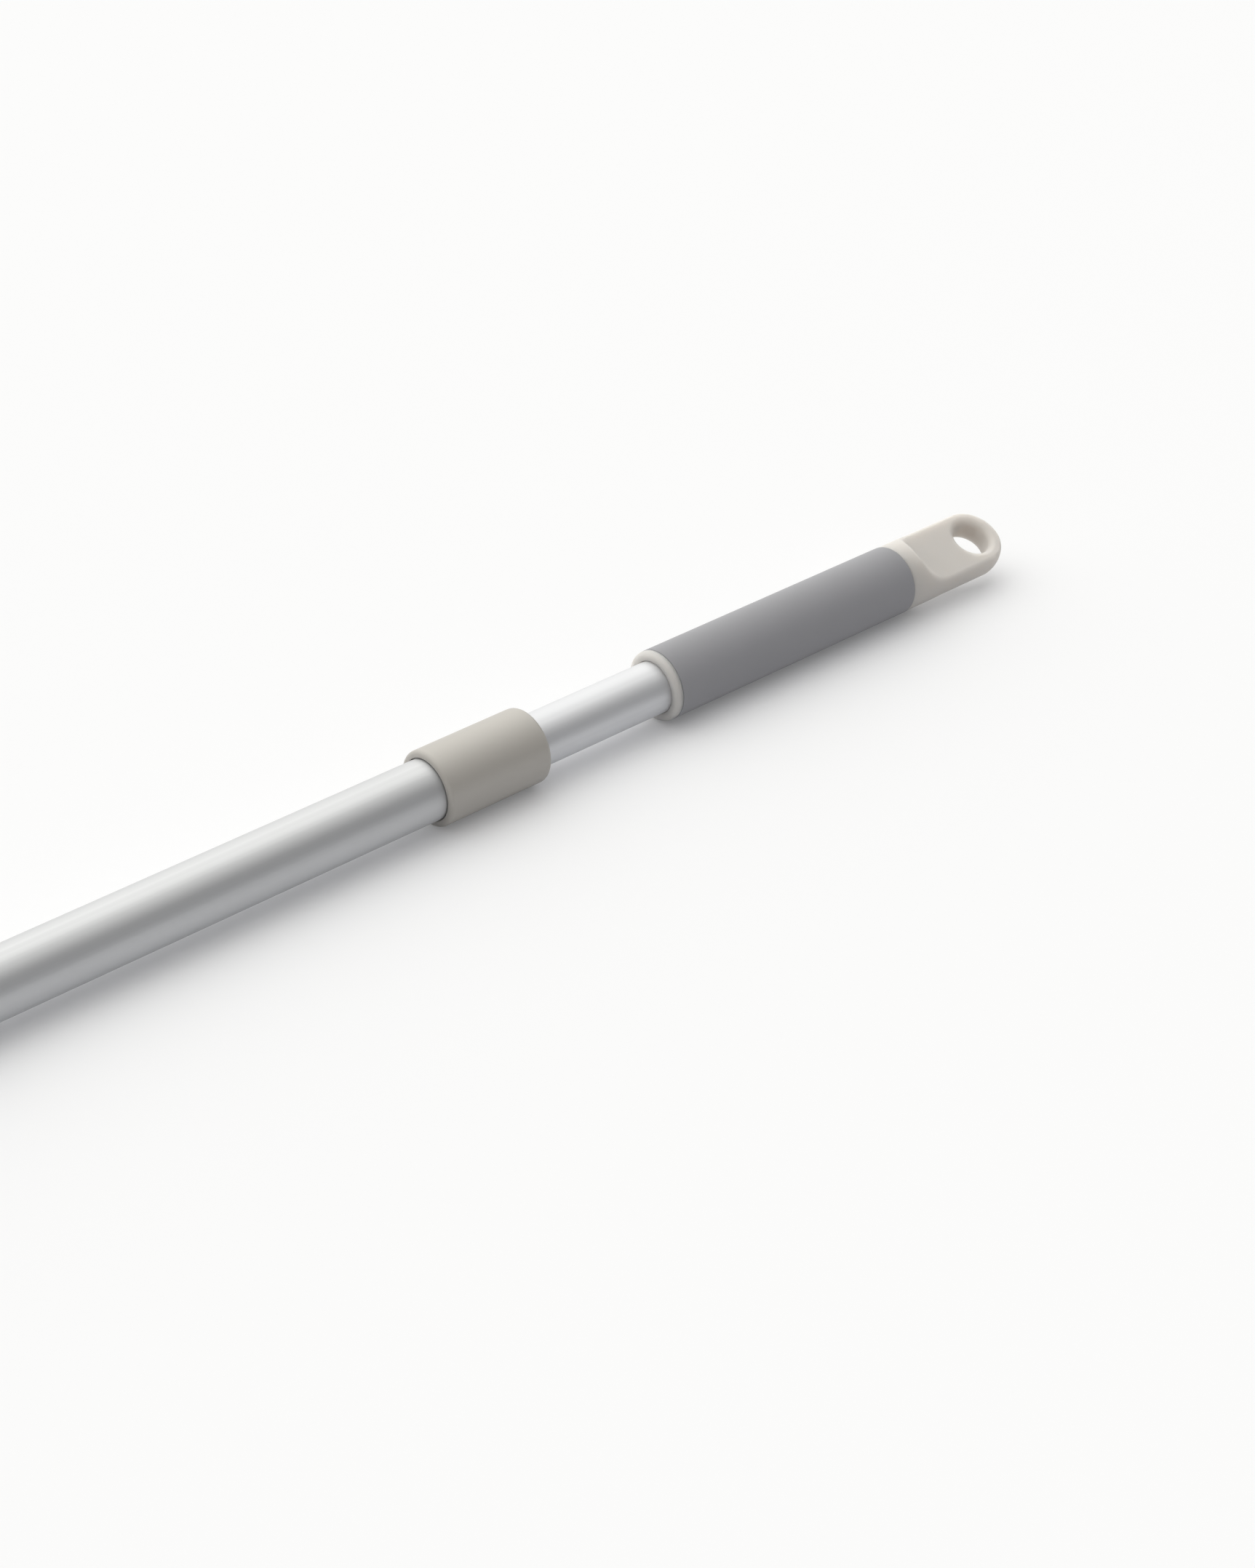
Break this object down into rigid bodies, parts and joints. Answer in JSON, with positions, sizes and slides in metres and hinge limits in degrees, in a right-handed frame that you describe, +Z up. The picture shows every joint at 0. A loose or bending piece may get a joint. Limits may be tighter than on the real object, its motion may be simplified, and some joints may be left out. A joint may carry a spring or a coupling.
{
  "type": "telescopic window cleaning pole",
  "caption": "Telescopic window cleaning pole: aluminium tubes with an eccentric twist lock, soft grip with a hang hole, and a latching tool spigot.",
  "frame": {"origin": "centre of the hang hole in the handle's blade, on the pole's long axis", "axes": "+X along the pole towards the handle's tip, +Z up as the pole lies on a floor; the blade leans 26 degrees about +X"},
  "size_m": [0.7526, 0.0312, 0.0312],
  "materials": {
    "handle_plastic": "light warm grey satin moulded plastic, slightly translucent",
    "collar_plastic": "warm grey fine matte moulded plastic",
    "grip_rubber": "mid grey soft-touch rubber, satin",
    "outer_tube_aluminium": "drawn tube, satin clear anodised",
    "inner_tube_aluminium": "drawn tube, satin clear anodised, slightly brighter",
    "steel": "plain bright steel",
    "lock_plastic": "natural slippery plastic",
    "cam_plastic": "black nylon",
    "felt": "grey felt"
  },
  "bodies": {
    "upper_pole": {"handle_core": "handle_plastic", "grip_sleeve": "grip_rubber", "upper_tube": "inner_tube_aluminium", "handle_pin": "steel", "lock_plug": "lock_plastic", "plug_pin": "steel", "thrust_washer": "steel", "retaining_washer": "steel", "lock_screw": "steel"},
    "glide_ring": {"glide_ring": "lock_plastic"},
    "cam_ring": {"cam_ring": "cam_plastic"},
    "lower_pole": {"lower_tube": "outer_tube_aluminium", "lock_collar": "collar_plastic", "guide_bush": "lock_plastic", "wiper_ring": "felt", "tool_ferrule": "handle_plastic", "spigot_plug": "handle_plastic", "ferrule_pins": "steel", "latch_spring": "steel"},
    "latch_button": {"latch_button": "steel"}
  },
  "joints": [
    {"name": "twist_lock", "type": "hinge", "parent": "upper_pole", "child": "glide_ring", "pos_m": [-0.5551, 0, 0], "axis": [1, 0, 0], "range_deg": [0, 90]},
    {"name": "cam_shift", "type": "hinge", "parent": "upper_pole", "child": "cam_ring", "pos_m": [-0.5407, 0, 0.0005], "axis": [1, 0, 0], "range_deg": [0, 90]},
    {"name": "extension", "type": "slide", "parent": "glide_ring", "child": "lower_pole", "axis": [-1, 0, 0], "range_m": [-0.065, 0.2558]},
    {"name": "latch_press", "type": "slide", "parent": "lower_pole", "child": "latch_button", "axis": [0, 0, -1], "range_m": [0, 0.003], "stiffness_N_per_m": 1500, "springref_m": -0.002, "deforming": ["latch_spring"]}
  ],
  "couplings": [
    {"joint": "cam_shift", "follows": "twist_lock", "ratio": 1}
  ]
}
